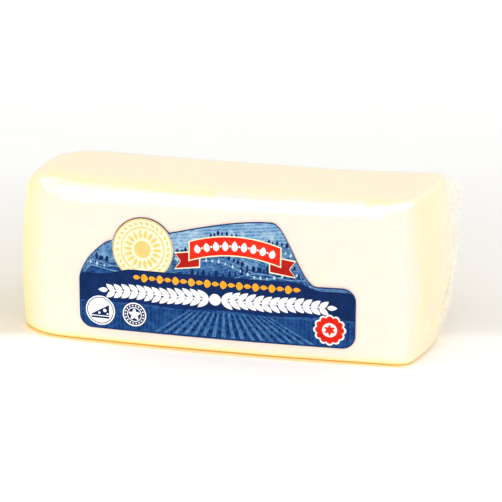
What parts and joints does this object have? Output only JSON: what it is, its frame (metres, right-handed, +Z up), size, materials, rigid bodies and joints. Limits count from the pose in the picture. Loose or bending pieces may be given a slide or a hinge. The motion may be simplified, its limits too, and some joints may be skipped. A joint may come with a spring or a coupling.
{
  "type": "mozzarella loaf",
  "caption": "Long pale block of low-moisture mozzarella in clear shrink film, one end rounded, one squarer with a sealed film tail, and a die-cut label on the front.",
  "frame": {"origin": "middle of the flat underside, where the loaf rests, halfway between the ends of the cheese before they swell", "axes": "+X along the loaf towards the squarer end with the film tail, -Y towards the label, +Z up"},
  "size_m": [0.2697, 0.104, 0.1021],
  "materials": {
    "bagged_cheese": "pale cream cheese seen through clear glossy shrink film",
    "clear_film": "clear crinkled plastic film",
    "printed_label": "satin print in navy, blue, gold, red and white"
  },
  "bodies": {
    "root": {"bagged_loaf": "bagged_cheese", "bag_tail": "clear_film", "label": "printed_label"}
  },
  "joints": []
}
